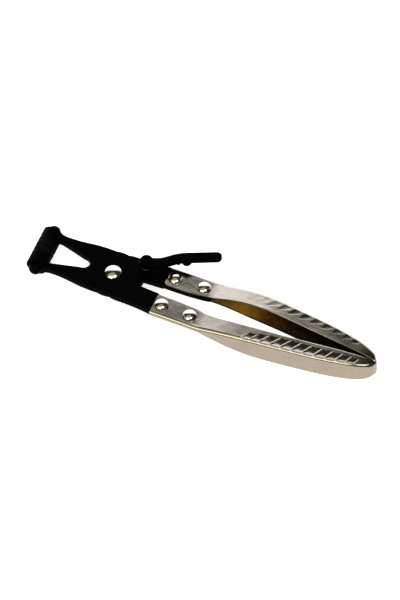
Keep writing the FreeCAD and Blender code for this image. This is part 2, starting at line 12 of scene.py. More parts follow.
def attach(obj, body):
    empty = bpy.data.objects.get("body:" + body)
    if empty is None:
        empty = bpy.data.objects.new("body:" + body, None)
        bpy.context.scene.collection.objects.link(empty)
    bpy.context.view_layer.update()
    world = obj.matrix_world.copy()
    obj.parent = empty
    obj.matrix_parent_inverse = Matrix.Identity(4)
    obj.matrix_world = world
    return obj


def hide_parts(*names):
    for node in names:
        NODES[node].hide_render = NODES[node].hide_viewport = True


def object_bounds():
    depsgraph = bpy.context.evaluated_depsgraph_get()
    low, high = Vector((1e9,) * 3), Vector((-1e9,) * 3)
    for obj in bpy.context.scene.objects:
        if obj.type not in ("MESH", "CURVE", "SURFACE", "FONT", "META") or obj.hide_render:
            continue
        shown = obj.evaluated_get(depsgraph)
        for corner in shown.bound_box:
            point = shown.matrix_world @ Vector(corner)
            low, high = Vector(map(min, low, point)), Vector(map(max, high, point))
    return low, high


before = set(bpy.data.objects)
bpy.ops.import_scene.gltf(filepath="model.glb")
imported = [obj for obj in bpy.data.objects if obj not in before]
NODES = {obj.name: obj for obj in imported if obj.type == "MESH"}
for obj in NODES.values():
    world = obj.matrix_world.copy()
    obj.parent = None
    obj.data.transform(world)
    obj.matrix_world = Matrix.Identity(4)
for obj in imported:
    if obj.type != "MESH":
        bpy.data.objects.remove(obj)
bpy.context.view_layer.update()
scene = bpy.context.scene
MM = 0.001


# ------------------------------------------------------------------ node helpers
class Nodes:
    """Short calls for building a node tree. `place` is its texture coordinate."""

    def __init__(self, tree, coordinate):
        self.tree = tree
        self.place = self.add("ShaderNodeTexCoord").outputs[coordinate]

    def add(self, kind, **settings):
        node = self.tree.nodes.new(kind)
        for key, value in settings.items():
            setattr(node, key, value)
        return node

    def feed(self, socket, value):
        """Link a socket, or set a plain value."""
        if isinstance(value, bpy.types.NodeSocket):
            self.tree.links.new(value, socket)
        else:
            socket.default_value = value

    def math(self, operation, first, second):
        node = self.add("ShaderNodeMath", operation=operation)
        for socket, value in zip(node.inputs, (first, second, 0.0)):
            self.feed(socket, value)
        return node.outputs[0]

    def fold(self, operation, total, rest):
        for value in rest:
            total = self.math(operation, total, value)
        return total

    def plus(self, first, *rest):
        return self.fold("ADD", first, rest)

    def times(self, first, *rest):
        return self.fold("MULTIPLY", first, rest)

    def minus(self, first, second):
        return self.math("SUBTRACT", first, second)

    def vector(self, operation, first, second=(0, 0, 0)):
        node = self.add("ShaderNodeVectorMath", operation=operation)
        self.feed(node.inputs[0], first)
        self.feed(node.inputs[1], second)
        return node.outputs["Value" if operation == "DOT_PRODUCT" else 0]

    def dot(self, first, second):
        return self.vector("DOT_PRODUCT", first, second)

    def split(self, vector):
        node = self.add("ShaderNodeSeparateXYZ")
        self.feed(node.inputs[0], vector)
        return node.outputs

    def noise(self, scale, detail=4.0, rough=0.6, distort=0.0, stretch=None):
        """Noise at `place`; `stretch` multiplies the frequency along x, y and z."""
        place = self.place
        if stretch:
            mapping = self.add("ShaderNodeMapping")
            self.feed(mapping.inputs["Vector"], place)
            mapping.inputs["Scale"].default_value = stretch
            place = mapping.outputs[0]
        node = self.add("ShaderNodeTexNoise")
        for name, value in (("Vector", place), ("Scale", scale), ("Detail", detail),
                            ("Roughness", rough), ("Distortion", distort)):
            self.feed(node.inputs[name], value)
        return node.outputs["Fac"]

    def fit(self, value, over, to=(0.0, 1.0), smooth=False):
        """Map the span `over` onto the span `to`, clamped."""
        node = self.add("ShaderNodeMapRange", clamp=True,
                        interpolation_type="SMOOTHSTEP" if smooth else "LINEAR")
        for socket, item in zip(node.inputs, (value, *over, *to)):
            self.feed(socket, item)
        return node.outputs[0]

    def ramp(self, factor, stops):
        """Colour ramp; each stop is (position, grey or rgb)."""
        node = self.add("ShaderNodeValToRGB")
        elements = node.color_ramp.elements
        while len(elements) < len(stops):
            elements.new(0.5)
        for element, (position, colour) in zip(elements, stops):
            element.position = position
            element.color = (*colour, 1) if isinstance(colour, tuple) else (*[colour] * 3, 1)
        self.feed(node.inputs[0], factor)
        return node.outputs[0]

    def mix(self, amount, start, end):
        """Blend from colour `start` to colour `end`."""
        node = self.add("ShaderNodeMix", data_type="RGBA")
        self.feed(node.inputs["Factor"], amount)
        for socket, colour in ((node.inputs[6], start), (node.inputs[7], end)):
            self.feed(socket, (*colour, 1) if isinstance(colour, tuple) else colour)
        return node.outputs[2]


class Finish(Nodes):
    """A material around one principled shader."""

    def __init__(self, name):
        self.material = bpy.data.materials.new(name)
        self.material.use_nodes = True
        tree = self.material.node_tree
        tree.nodes.clear()
        super().__init__(tree, "Object")
        self.output = self.add("ShaderNodeOutputMaterial")
        self.shader = self.add("ShaderNodeBsdfPrincipled")
        self.feed(self.output.inputs[0], self.shader.outputs[0])

    def surface(self, sockets):
        for name, value in sockets.items():
            self.feed(self.shader.inputs[name], value)
        return self.material

    def geometry(self, name):
        return self.add("ShaderNodeNewGeometry").outputs[name]

    def attribute(self, name):
        return self.add("ShaderNodeAttribute", attribute_name=name).outputs["Fac"]

    def bump(self, height, strength, distance=0.0001, normal=None):
        node = self.add("ShaderNodeBump")
        self.feed(node.inputs["Height"], height)
        self.feed(node.inputs["Strength"], strength)
        self.feed(node.inputs["Distance"], distance)
        if normal is not None:
            self.feed(node.inputs["Normal"], normal)
        return node.outputs[0]

    def bevel(self, radius, samples):
        node = self.add("ShaderNodeBevel", samples=samples)
        node.inputs["Radius"].default_value = radius
        return node.outputs[0]

    def edge(self, radius):
        """0 on flats, up to 1 along sharp edges."""
        turn = self.dot(self.bevel(radius, samples=8), self.geometry("Normal"))
        return self.fit(turn, over=(0.99, 0.86))

    def mix_shader(self, factor, first, second):
        node = self.add("ShaderNodeMixShader")
        for socket, value in zip(node.inputs, (factor, first, second)):
            self.feed(socket, value)
        return node.outputs[0]


def tinted(colour, factors):
    return tuple(c * f for c, f in zip(colour, factors))


# ------------------------------------------------------------------ finishes
def black_oxide(name, base=0.0006, rough=0.46, specular=0.015, wear=0.30, grain=1.0):
    """Black oxide: blasted grain, uneven sheen, a little bare metal on the sharpest edges."""
    m = Finish(name)
    broad = m.noise(scale=160.0, detail=5.0)
    fine = m.noise(scale=5200.0, detail=3.0)
    medium = m.noise(scale=900.0)
    grey = (base,) * 3
    tone = m.mix(m.fit(broad, over=(0.35, 0.7)), start=tinted(grey, (0.8, 0.8, 0.82)),
                 end=tinted(grey, (1.35, 1.3, 1.25)))
    edge = m.edge(radius=0.00035)
    scratch = m.noise(scale=2100.0, rough=0.65, stretch=(1, 1, 3))
    wear_and_painted_highlight = m.times(edge, m.fit(scratch, over=(0.52, 0.66)), wear)
    sheen = m.fit(medium, over=(0.3, 0.7), to=(rough - 0.07, rough + 0.08))
    height = m.plus(m.times(fine, 0.35), m.times(medium, 0.65))
    return m.surface({
        "Base Color": m.mix(wear_and_painted_highlight, tone, end=(0.018, 0.017, 0.016)),
        "Metallic": 0.0,
        "Specular IOR Level": specular,
        "Roughness": m.plus(sheen, m.times(wear_and_painted_highlight, -0.12)),
        "Normal": m.bump(height, strength=0.16 * grain, distance=0.00012,
                         normal=m.bevel(radius=0.00022, samples=4)),
    })


def nickel(name, rough=0.125, tint=(0.670, 0.632, 0.585), brush=1.0):
    """Nickel plate: warm metal brushed along X, with smudges, hairlines and pits, plus painted
    shade and painted highlight read from the mesh.
    """
    m = Finish(name)
    brushed = (1.0, 22.0, 22.0)
    hair = m.noise(scale=420.0, detail=5.0, rough=0.7, stretch=brushed)
    fine_hair = m.noise(scale=1300.0, detail=3.0, stretch=brushed)
    smudge = m.noise(scale=95.0, detail=5.0, rough=0.62, distort=0.4)
    pits = m.noise(scale=2600.0, detail=2.0, rough=0.5)
    tone = m.mix(m.fit(smudge, over=(0.3, 0.72)), start=tinted(tint, (0.93, 0.915, 0.89)),
                 end=tinted(tint, (1.05, 1.05, 1.06)))
    tone = m.mix(m.times(m.fit(pits, over=(0.70, 0.78)), 0.35), tone, end=(0.20, 0.17, 0.13))
    tone = m.mix(m.times(m.fit(fine_hair, over=(0.62, 0.75)), 0.18), tone,
                 end=(0.80, 0.78, 0.74))
    # dark, then bright streaks
    streak = m.noise(scale=62.0, detail=6.0, rough=0.68, distort=0.2, stretch=brushed)
    for over, amount, factors in (((0.50, 0.72), 0.34, (0.74, 0.71, 0.66)),
                                  ((0.48, 0.30), 0.30, (1.16, 1.16, 1.14))):
        tone = m.mix(m.times(m.fit(streak, over), amount), tone, end=tinted(tint, factors))
    # painted shade: the colour darkens towards near black where the handle mesh marks painted
    # shade (leaf hollows and face bands), speckled by the pits
    painted_shade = m.attribute("painted_shade")
    speckled = m.plus(painted_shade, m.times(m.minus(pits, 0.5), 1.1, painted_shade))
    painted_shade_amount = m.times(m.fit(speckled, over=(0.10, 0.8545)), 0.97)
    tone = m.mix(painted_shade_amount, tone, end=(0.060, 0.054, 0.042))
    # painted highlight: rib crests, the band along the outer ridge and the inner edge are
    # painted pale cream and made less metallic
    painted_crest_highlight = m.attribute("wear_and_painted_highlight")
    wave = m.noise(scale=105.0, detail=3.0, rough=0.55, distort=0.3, stretch=(0.6, 1.0, 1.0))
    height = m.plus(m.times(hair, 0.6), m.times(fine_hair, 0.4))
    hairlines = m.bump(height, strength=0.06 * brush, distance=0.00006)
    return m.surface({
        "Base Color": m.mix(painted_crest_highlight, tone, end=(0.93, 0.90, 0.80)),
        "Metallic": m.minus(1.0, m.times(painted_crest_highlight, 0.72)),
        "Roughness": m.plus(
            m.fit(smudge, over=(0.25, 0.75), to=(rough * 0.75, rough * 1.35)),
            m.fit(hair, over=(0.35, 0.7), to=(-0.02, 0.05)),
            m.times(painted_shade_amount, 0.12), m.times(painted_crest_highlight, 0.22)),
        "Normal": m.bump(wave, strength=0.85, distance=0.00026, normal=hairlines),
    })


def polished(name):
    """Polished nickel rivet heads, whose shine leans towards the bright wall."""
    m = Finish(name)
    to_wall = (-0.397, 0.918, 0.0)
    smudge = m.noise(scale=420.0)
    fine = m.noise(scale=3800.0, detail=3.0)
    tone = m.mix(m.fit(smudge, over=(0.3, 0.75)), start=(0.84, 0.81, 0.76),
                 end=(0.90, 0.885, 0.85))
    tone = m.mix(m.times(m.fit(fine, over=(0.66, 0.76)), 0.4), tone, end=(0.3, 0.26, 0.2))
    # lean the normal to the wall everywhere, and upwards where it already faces the wall
    normal = m.geometry("Normal")
    facing = m.math("MAXIMUM", m.plus(m.dot(normal, to_wall), 0.2), 0.0)
    lift = m.add("ShaderNodeCombineXYZ")
    m.feed(lift.inputs[2], m.times(facing, 3.1))
    leaning = m.vector("ADD", normal, tinted(to_wall, (0.15,) * 3))
    leaning = m.vector("NORMALIZE", m.vector("ADD", leaning, lift.outputs[0]))
    height = m.plus(m.times(smudge, 0.7), m.times(fine, 0.3))
    return m.surface({
        "Base Color": tone,
        "Metallic": 1.0,
        "Roughness": m.fit(smudge, over=(0.3, 0.7), to=(0.05, 0.13)),
        "Normal": m.bump(height, strength=0.05, normal=leaning),
    })


def bare_inside(name):
    """Inside of the handles: amber lacquer over bare steel, with painted shade that darkens it
    towards the tip and, less, towards the open end.
    """
    m = Finish(name)
    blot = m.noise(scale=130.0, detail=6.0, rough=0.62, distort=0.6)
    streak = m.noise(scale=150.0, detail=5.0, stretch=(1.0, 9.0, 14.0))
    along = m.plus(m.split(m.place)[0], m.times(m.minus(blot, 0.5), 0.022))
    # painted shade: the lacquer colour peaks part-way along and falls to near black towards
    # the tip
    shaded_amber = m.ramp(m.fit(along, over=(0.042, 0.103)), [
        (0.0, (0.040, 0.022, 0.003)), (0.18, (0.16, 0.094, 0.007)),
        (0.30, (0.30, 0.176, 0.011)), (0.44, (0.52, 0.285, 0.016)),
        (0.60, (0.14, 0.052, 0.005)), (0.80, (0.030, 0.010, 0.003)),
        (1.0, (0.004, 0.003, 0.002))])
    return m.surface({
        "Base Color": m.mix(m.times(m.fit(streak, over=(0.46, 0.70)), 0.45), shaded_amber,
                            end=(0.10, 0.040, 0.005)),
        "Metallic": 0.30,
        "Roughness": m.fit(blot, over=(0.3, 0.7), to=(0.38, 0.58)),
        "Coat Weight": 0.25,
        "Coat Roughness": 0.35,
        "Normal": m.bump(m.plus(blot, m.times(streak, 0.5)), strength=0.25, distance=0.00025),
    })


def rubber(name):
    """Hard black rubber with a fine moulded grain."""
    m = Finish(name)
    cells = m.add("ShaderNodeTexVoronoi", feature="SMOOTH_F1")
    m.feed(cells.inputs["Vector"], m.place)
    m.feed(cells.inputs["Scale"], 2600.0)
    mottle = m.noise(scale=700.0)
    return m.surface({
        "Base Color": m.mix(m.fit(mottle, over=(0.3, 0.7)), start=(0.0014, 0.0014, 0.0015),
                            end=(0.0026, 0.0025, 0.0024)),
        "Roughness": m.fit(mottle, over=(0.3, 0.7), to=(0.58, 0.72)),
        "Specular IOR Level": 0.035,
        "Normal": m.bump(cells.outputs["Distance"], strength=0.35, distance=0.00012),
    })


def spring_steel(name):
    """Dark oiled steel."""
    m = Finish(name)
    fine = m.noise(scale=3000.0, detail=3.0)
    mottle = m.noise(scale=500.0)
    return m.surface({
        "Base Color": m.mix(m.fit(mottle, over=(0.35, 0.7)), start=(0.022, 0.022, 0.022),
                            end=(0.085, 0.083, 0.080)),
        "Metallic": 1.0,
        "Roughness": m.fit(fine, over=(0.3, 0.7), to=(0.22, 0.38)),
        "Normal": m.bump(fine, strength=0.15, distance=0.00006),
    })


FORGED = black_oxide("black_oxide_forged")
TURNED = black_oxide("black_oxide_turned", base=0.0007, rough=0.38, specular=0.028,
                     wear=0.28, grain=0.5)
LEVER = black_oxide("black_oxide_lever", rough=0.42, wear=0.22, grain=0.8)
NICKEL = nickel("nickel_brushed")
SHEET_END = nickel("nickel_sheet_edge", rough=0.26, tint=(0.640, 0.600, 0.545), brush=1.6)
# painted shade: the cut edges of the sheet get a near black finish so the inner edge reads as
# a dark line
CUT_EDGE = black_oxide("cut_edge_painted_shade", base=0.010, rough=0.34, specular=0.25, wear=0.5)
POLISHED = polished("nickel_polished")
AMBER = bare_inside("amber_inside")
RUBBER = rubber("rubber_moulded")
SPRING = spring_steel("spring_steel_oiled")

for finish, names in (
    (FORGED, ("plain_arm", "lever_arm")),
    (LEVER, ("lock_lever",)),
    (TURNED, ("lock_washer", "lock_shaft", "plain_pad_spindle", "lever_pad_spindle",
              "plain_pad_cap", "lever_pad_cap", "pivot_burr")),
    (SPRING, ("lock_cam", "lock_spring", "spring_pin")),
    (RUBBER, ("plain_grip_pad", "lever_grip_pad")),
    (POLISHED, ("pivot_rivet", "plain_handle_front_rivet", "plain_handle_rear_rivet",
                "lever_handle_front_rivet", "lever_handle_rear_rivet")),
    (NICKEL, ("plain_handle", "lever_handle")),
):
    for name in names:
        slots = NODES[name].data.materials
        slots.clear()
        slots.append(finish)

# ------------------------------------------------------------------ handle sizes, mm
SHEET = 0.70                    # sheet thickness
SHANK_HALF = 1.70               # half depth (z) of the flat shank
GRIP_HALF = 7.15                # half depth of the full grip
START_X, TIP_X = 26.0, 143.4    # open end and tip
TAIL_X = 138.0                  # from here stations follow the arc round the tip
SEAM_GAP = 0.10                 # least y
MAX_X, MAX_Y = TIP_X - 0.02, 15.443
END_RADIUS = 2.2                # rounded inner corner at the open end
END_INNER_Y = 3.13
CORNER = 1.75                   # bend radius between face and outer wall
EDGE_BREAK = 0.28               # broken inner edge of the sheet
FACE_COLUMNS, CORNER_COLUMNS, WALL_COLUMNS = 56, 13, 14
TAIL_STATIONS = 46

# (x, y) of the inner edge and of the outer wall, seen from above
PLAN_IN = [
    (START_X, 3.10), (34.0, 3.25), (42.0, 3.60), (48.0, 4.45), (54.0, 5.35), (61.0, 6.10),
    (71.0, 6.35), (81.5, 6.15), (91.5, 5.40), (101.5, 4.25), (111.5, 3.15), (121.5, 2.10),
    (131.5, 1.15), (TAIL_X, 0.50), (TIP_X - 0.6, SEAM_GAP)]
PLAN_OUT = [
    (START_X, 15.10), (36.0, 15.15), (47.0, 15.20), (60.0, 15.40), (71.0, 15.40),
    (81.5, 14.95), (91.5, 14.10), (101.5, 13.05), (111.5, 11.90), (121.5, 10.40),
    (130.0, 8.65), (135.0, 7.30), (139.4, 5.35), (142.3, 3.00), (TIP_X, SEAM_GAP)]
# (x, half depth)
SHANK_END, GRIP_START, GRIP_END = 49.3, 90.0, 120.0
SIDE_START, SIDE_END = 20.0, TIP_X + 0.2
SIDE = [
    (SIDE_START, SHANK_HALF), (33.0, SHANK_HALF), (SHANK_END, SHANK_HALF),
    (51.6, SHANK_HALF + 0.22), (55.4, 2.75), (60.5, 3.95), (66.0, 5.05), (71.5, 5.90),
    (78.0, 6.65), (84.0, 7.03), (GRIP_START, GRIP_HALF), (100.0, GRIP_HALF),
    (112.0, GRIP_HALF), (GRIP_END, GRIP_HALF), (124.5, 7.12), (130.0, 6.98), (135.0, 6.68),
    (139.0, 6.15), (141.9, 5.20), (SIDE_END, 4.10)]

# x of the ribs where they meet the outer wall, and (x, slant as dx per dy)
RIB_X = [74.3, 78.6, 83.4, 89.0, 94.6, 100.4, 106.3, 112.3, 118.2, 123.8, 129.0, 133.4]
SLANT = [(74.0, 0.80), (92.0, 0.72), (112.0, 0.55), (134.0, 0.38)]
# leaf depth and strength of the painted shade in the leaves on the top face; the last entry
# serves all further leaves
TOP_DEPTHS = (0.01, 0.02, 0.045, 0.08, 0.115)
TOP_SHOWS = (0.02, 0.08, 0.24, 0.55, 0.80)
# the same for the bottom face, with the length of each leaf across the face
BOTTOM_DEPTH_FACTORS = (0.62, 0.85, 1.0)
BOTTOM_SHOWS = (0.80, 0.95, 1.0)
BOTTOM_LENGTHS = (5.8, 7.0, 7.6, 7.7, 7.7, 7.5, 7.3, 7.0, 6.6, 5.9, 5.0)
# (x, strength of the painted shade that darkens the faces)
TOP_PAINTED_SHADE = [(80, 0.10), (90, 0.17), (96, 0.32), (114, 0.38), (120, 0.56), (126, 0.70),
               (131, 0.66), (137, 0.76)]
BOTTOM_PAINTED_SHADE = [
    (46, 0.10), (50, 0.38), (54, 0.33), (62, 0.34), (66, 0.42), (70, 0.50), (74, 0.56),
    (78, 0.46), (102, 0.47), (108, 0.53), (114, 0.53), (120, 0.64), (126, 0.73),
    (131, 0.68), (135, 0.62), (138, 0.72)]


# ------------------------------------------------------------------ handle curves
def spline(knots, values):
    """Natural cubic spline; returns a vectorised function."""
    knots, values = np.asarray(knots, float), np.asarray(values, float)
    count = len(knots)
    step = np.diff(knots)
    system = np.zeros((count, count))
    right = np.zeros(count)
    system[0, 0] = system[-1, -1] = 1
    for i in range(1, count - 1):
        system[i, i - 1:i + 2] = step[i - 1], 2 * (step[i - 1] + step[i]), step[i]
        right[i] = 6 * ((values[i + 1] - values[i]) / step[i]
                        - (values[i] - values[i - 1]) / step[i - 1])
    bend = np.linalg.solve(system, right)

    def evaluate(at):
        at = np.asarray(at, float)
        k = np.clip(np.searchsorted(knots, at) - 1, 0, count - 2)
        ahead, behind, h = knots[k + 1] - at, at - knots[k], step[k]
        return (bend[k] * ahead**3 / (6 * h) + bend[k + 1] * behind**3 / (6 * h)
                + (values[k] / h - bend[k] * h / 6) * ahead
                + (values[k + 1] / h - bend[k + 1] * h / 6) * behind)
    return evaluate


def plan_curve(points):
    """Smooth curve through points: its function of arc, sampled arcs, sampled points."""
    points = np.array(points, float)
    chords = np.linalg.norm(np.diff(points, axis=0), axis=1)
    knots = np.concatenate([[0], np.cumsum(chords)])
    x_at, y_at = spline(knots, points[:, 0]), spline(knots, points[:, 1])
    arcs = np.linspace(0, knots[-1], 3000)

    def curve(arc):
        return np.stack([x_at(arc), y_at(arc)], -1)
    return curve, arcs, curve(arcs)


outer_curve, outer_arcs, outer_samples = plan_curve(PLAN_OUT)
inner_curve, inner_arcs, inner_samples = plan_curve(PLAN_IN)
outer_before_tip = outer_samples[outer_samples[:, 0] < TIP_X - 0.4]
side_spline = spline(*np.array(SIDE).T)


def outer_y(x):
    return np.interp(x, *outer_before_tip.T)


def half_depth(x):
    z = side_spline(np.clip(x, SIDE_START, SIDE_END))
    z = np.where(x < SHANK_END, SHANK_HALF, z)
    z = np.where((x > GRIP_START) & (x < GRIP_END), GRIP_HALF, z)
    return np.minimum(z, GRIP_HALF)


def lookup(x, stations):
    return np.interp(x, *np.array(stations, float).T)


def rise(x, start, end):
    """Smooth step from 0 at start to 1 at end."""
    t = np.clip((x - start) / (end - start), 0, 1)
    return t * t * (3 - 2 * t)


def fall(x, start, end):
    return 1 - rise(x, start, end)


def unit(vectors):
    length = np.linalg.norm(vectors, axis=2, keepdims=True)
    length[length < 1e-12] = 1
    return vectors / length


# ------------------------------------------------------------------ stamped leaves
# Each leaf is a fin that hangs from its rib and narrows towards the next one.
# t runs 0 to 1 from rib to rib, v is the distance in mm from the outer wall.
# Both functions return depth in mm, painted shade and painted highlight.
def top_leaf(i, t, v):
    length = (6.9 - 0.21 * i) * (0.80 if i == 0 else 1.0)
    reach = length * (1.0 - 0.62 * np.clip(t - 0.26, 0, 1)
                      - 0.10 * np.clip(0.16 - t, 0, 1) / 0.16)
    last = min(i, len(TOP_DEPTHS) - 1)
    depth = (rise(t, 0.02, 0.34) * fall(t, 0.60, 0.96)
             * (0.42 + 0.58 * rise(v, 1.5, 0.46 * length))
             * fall(v, 0.76 * reach, reach) * TOP_DEPTHS[last])
    # painted shade inside the leaf hollow
    inside = (rise(t, 0.03, 0.12) * (1 - 0.7 * rise(t, 0.45, 0.85))
              * fall(v, 0.88 * reach, 0.97 * reach)
              * rise(v, (0.10 + 0.22 * t) * length, (0.24 + 0.30 * t) * length))
    return depth, inside * TOP_SHOWS[last], 0.0


def bottom_leaf(i, t, v):
    length = BOTTOM_LENGTHS[i]
    reach = length * (1.0 - 0.16 * t)
    last = min(i, len(BOTTOM_SHOWS) - 1)
    deepest = (0.50 - 0.014 * i) * BOTTOM_DEPTH_FACTORS[last]
    leaf = (rise(t, 0.015, 0.28) * fall(t, 0.85, 0.925)
            * (0.40 + 0.60 * rise(v, 1.5, 0.44 * length))
            * fall(v, reach - 0.26 * length, reach) * deepest)
    # the back of the next rib slopes up to it
    slope = (0.10 * rise(t, 0.40, 0.90) * (1 - np.clip((t - 0.905) / 0.095, 0, 1))
             * fall(v, 0.86 * length, length))
    h = v / length
    # painted shade inside the leaf hollow
    inside = (rise(t, 0.03, 0.16) * fall(t, 0.885, 0.93)
              * (0.36 * rise(v, 1.3, 2.0) + 0.64 * rise(h, 0.50 - 0.27 * t, 0.74 - 0.27 * t))
              * fall(h, 0.95 - 0.13 * t, 1.03 - 0.13 * t))
    # painted highlight along each rib crest, and a painted highlight band along the outer
    # ridge
    painted_crest_highlight = (np.clip(1 - np.abs(t - 0.962) / 0.042, 0, 1) * rise(v, 0.4, 0.9)
             * fall(v, 0.90 * length, 1.03 * length))
    painted_ridge_band = 0.42 * fall(v, 1.75, 2.5) * rise(t, 0.0, 0.02)
    wear_and_painted_highlight = np.maximum(painted_crest_highlight, painted_ridge_band) * (t < 1.0)
    return np.maximum(leaf, slope), inside * BOTTOM_SHOWS[last], wear_and_painted_highlight


def first_painted_crest_highlight(foot, v):
    """Painted highlight on the crest of the bottom rib nearest the pivot."""
    length = BOTTOM_LENGTHS[0]
    return (0.8 * np.clip(1 - np.abs(foot - RIB_X[0] + 0.15) / 0.26, 0, 1)
            * rise(v, 0.4, 0.9) * fall(v, 0.70 * length, 0.95 * length))


def painted_darkening(x, v, is_top):
    """Painted shade that darkens the faces, more strongly towards the tip, and on the flat
    shank.
    """
    if is_top:
        shank = 0.27 * fall(x, 47.0, 50.0)
        grip = lookup(x, TOP_PAINTED_SHADE) * rise(x, 70.0, 82.0) * rise(v, 1.3, 2.2)
        band = (0.20 * rise(x, 88.0, 97.0) * fall(v, 4.0, 5.8) * rise(v, 1.3, 2.4)
                * fall(x, 118, 126))
        return shank + grip + band
    wall_clear = rise(v, 1.6, 2.4)
    shank = (0.26 + 0.22 * fall(v, 5.0, 10.5)) * fall(x, 46.0, 50.0) * wall_clear
    return np.maximum(lookup(x, BOTTOM_PAINTED_SHADE) * wall_clear, shank)


def relief(x, y, is_top):
    """Depth below the face in mm, painted shade and painted highlight at (x, y)."""
    lean = -1.0 if is_top else 1.0
    foot = x.copy()    # x where the slanted line through the point meets the outer wall
    for _ in range(5):
        foot = x - lean * lookup(foot, SLANT) * (outer_y(foot) - y)
    v = outer_y(foot) - y
    depth, painted_shade, wear_and_painted_highlight = np.zeros_like(x), np.zeros_like(x), np.zeros_like(x)
    leaf = top_leaf if is_top else bottom_leaf
    for i, (start, end) in enumerate(zip(RIB_X, RIB_X[1:])):
        t = np.clip((foot - start) / (end - start), 0, 1)
        leaf_depth, leaf_painted_shade, leaf_painted_highlight = leaf(i, t, v)
        depth = np.maximum(depth, leaf_depth)
        painted_shade = np.maximum(painted_shade, leaf_painted_shade)
        wear_and_painted_highlight = np.maximum(wear_and_painted_highlight, leaf_painted_highlight)
    if not is_top:
        wear_and_painted_highlight = np.maximum(wear_and_painted_highlight, first_painted_crest_highlight(foot, v))
    return depth, np.maximum(painted_shade, painted_darkening(x, v, is_top)) * (1 - wear_and_painted_highlight), wear_and_painted_highlight


# ------------------------------------------------------------------ handle mesh
def plan_edges():
    """Matching stations along the outer wall and the inner edge."""
    corner_x = START_X + END_RADIUS
    xs = np.concatenate([
        START_X + END_RADIUS * (1 - np.cos(np.linspace(0, np.pi / 2, 14)))[:-1],
        np.linspace(corner_x, 72.0, 110)[:-1],
        np.linspace(72.0, TAIL_X, 390)])
    arc = np.interp(xs, outer_samples[:, 0], outer_arcs)
    tail = np.linspace(arc[-1], outer_arcs[-1], TAIL_STATIONS)[1:]
    outer = outer_curve(np.concatenate([arc, tail]))
    outer[0, 0] = START_X

    inner = np.stack([xs, np.interp(xs, *inner_samples.T)], -1)
    arc = np.interp(TAIL_X, inner_samples[:, 0], inner_arcs)
    tail = arc + (inner_arcs[-1] - arc) * np.linspace(0, 1, TAIL_STATIONS)[1:]
    inner = np.concatenate([inner, inner_curve(tail)])
    near = inner[:, 0] < corner_x
    drop = np.sqrt(np.maximum(0, END_RADIUS**2 - (corner_x - inner[near, 0])**2))
    inner[near, 1] = np.maximum(inner[near, 1], END_INNER_Y + END_RADIUS - drop)
    for edge in (outer, inner):
        edge[:, 1] = np.maximum(edge[:, 1], SEAM_GAP)
    return outer, inner


def half_skin(is_top, outer, inner, inward, radius):
    """Face and rounded corner of one side: points, painted shade and painted highlight."""
    side = 1 if is_top else -1
    land = outer + inward * radius[:, None]    # where the face meets the corner
    width = np.maximum(1e-6, np.linalg.norm(land - inner, axis=1))
    first = np.minimum(EDGE_BREAK / width, 0.5)[:, None]
    across = np.concatenate([np.zeros((len(outer), 1)),
                             first + (1 - first) * np.linspace(0, 1, FACE_COLUMNS)], 1)
    face = inner[:, None, :] * (1 - across)[..., None] + land[:, None, :] * across[..., None]
    x, y = face[..., 0], face[..., 1]
    depth, painted_shade, wear_and_painted_highlight = relief(x, y, is_top)
    break_start, break_end = (62.0, 92.0) if is_top else (46.0, 60.0)
    depth[:, 0] += 0.04 + (EDGE_BREAK - 0.04) * rise(x[:, 0], break_start, break_end)
    z = (half_depth(x) - depth) * side
    face = np.concatenate([face, z[..., None]], -1)
    if not is_top:    # painted highlight along the inner edge
        painted_edge_highlight = rise(x[:, :3], 90.0, 104.0) * fall(x[:, :3], 134.0, 139.0)
        wear_and_painted_highlight[:, :3] = np.maximum(wear_and_painted_highlight[:, :3], painted_edge_highlight)

    # corner, with the leaves fading out round the bend
    angle = np.linspace(0, np.pi / 2, CORNER_COLUMNS + 1)[1:]
    sin, cos = np.sin(angle), np.cos(angle)
    corner = land[:, None, :] - inward[:, None, :] * (radius[:, None] * sin)[..., None]
    z = half_depth(corner[..., 0]) - radius[:, None] * (1 - cos)
    # the corner lip carries the face's depth, painted highlight and (bottom handle only)
    # painted shade round the bend
    lip, lip_painted_shade, lip_painted_highlight = relief(np.repeat(land[:, :1], CORNER_COLUMNS, 1),
                                       np.repeat(land[:, 1:2], CORNER_COLUMNS, 1), is_top)
    fade = fall(angle, 0.30, 0.78)
    lip = np.minimum(lip, 0.17) * fade
    corner = corner + inward[:, None, :] * (lip * sin)[..., None]
    z = (z - lip * cos) * side
    corner = np.concatenate([corner, z[..., None]], -1)
    return (np.concatenate([face, corner], 1),
            np.concatenate([painted_shade, lip_painted_shade * fade * (0.0 if is_top else 0.9)], 1),
            np.concatenate([wear_and_painted_highlight, lip_painted_highlight * fall(angle, 0.30, 0.75)], 1))


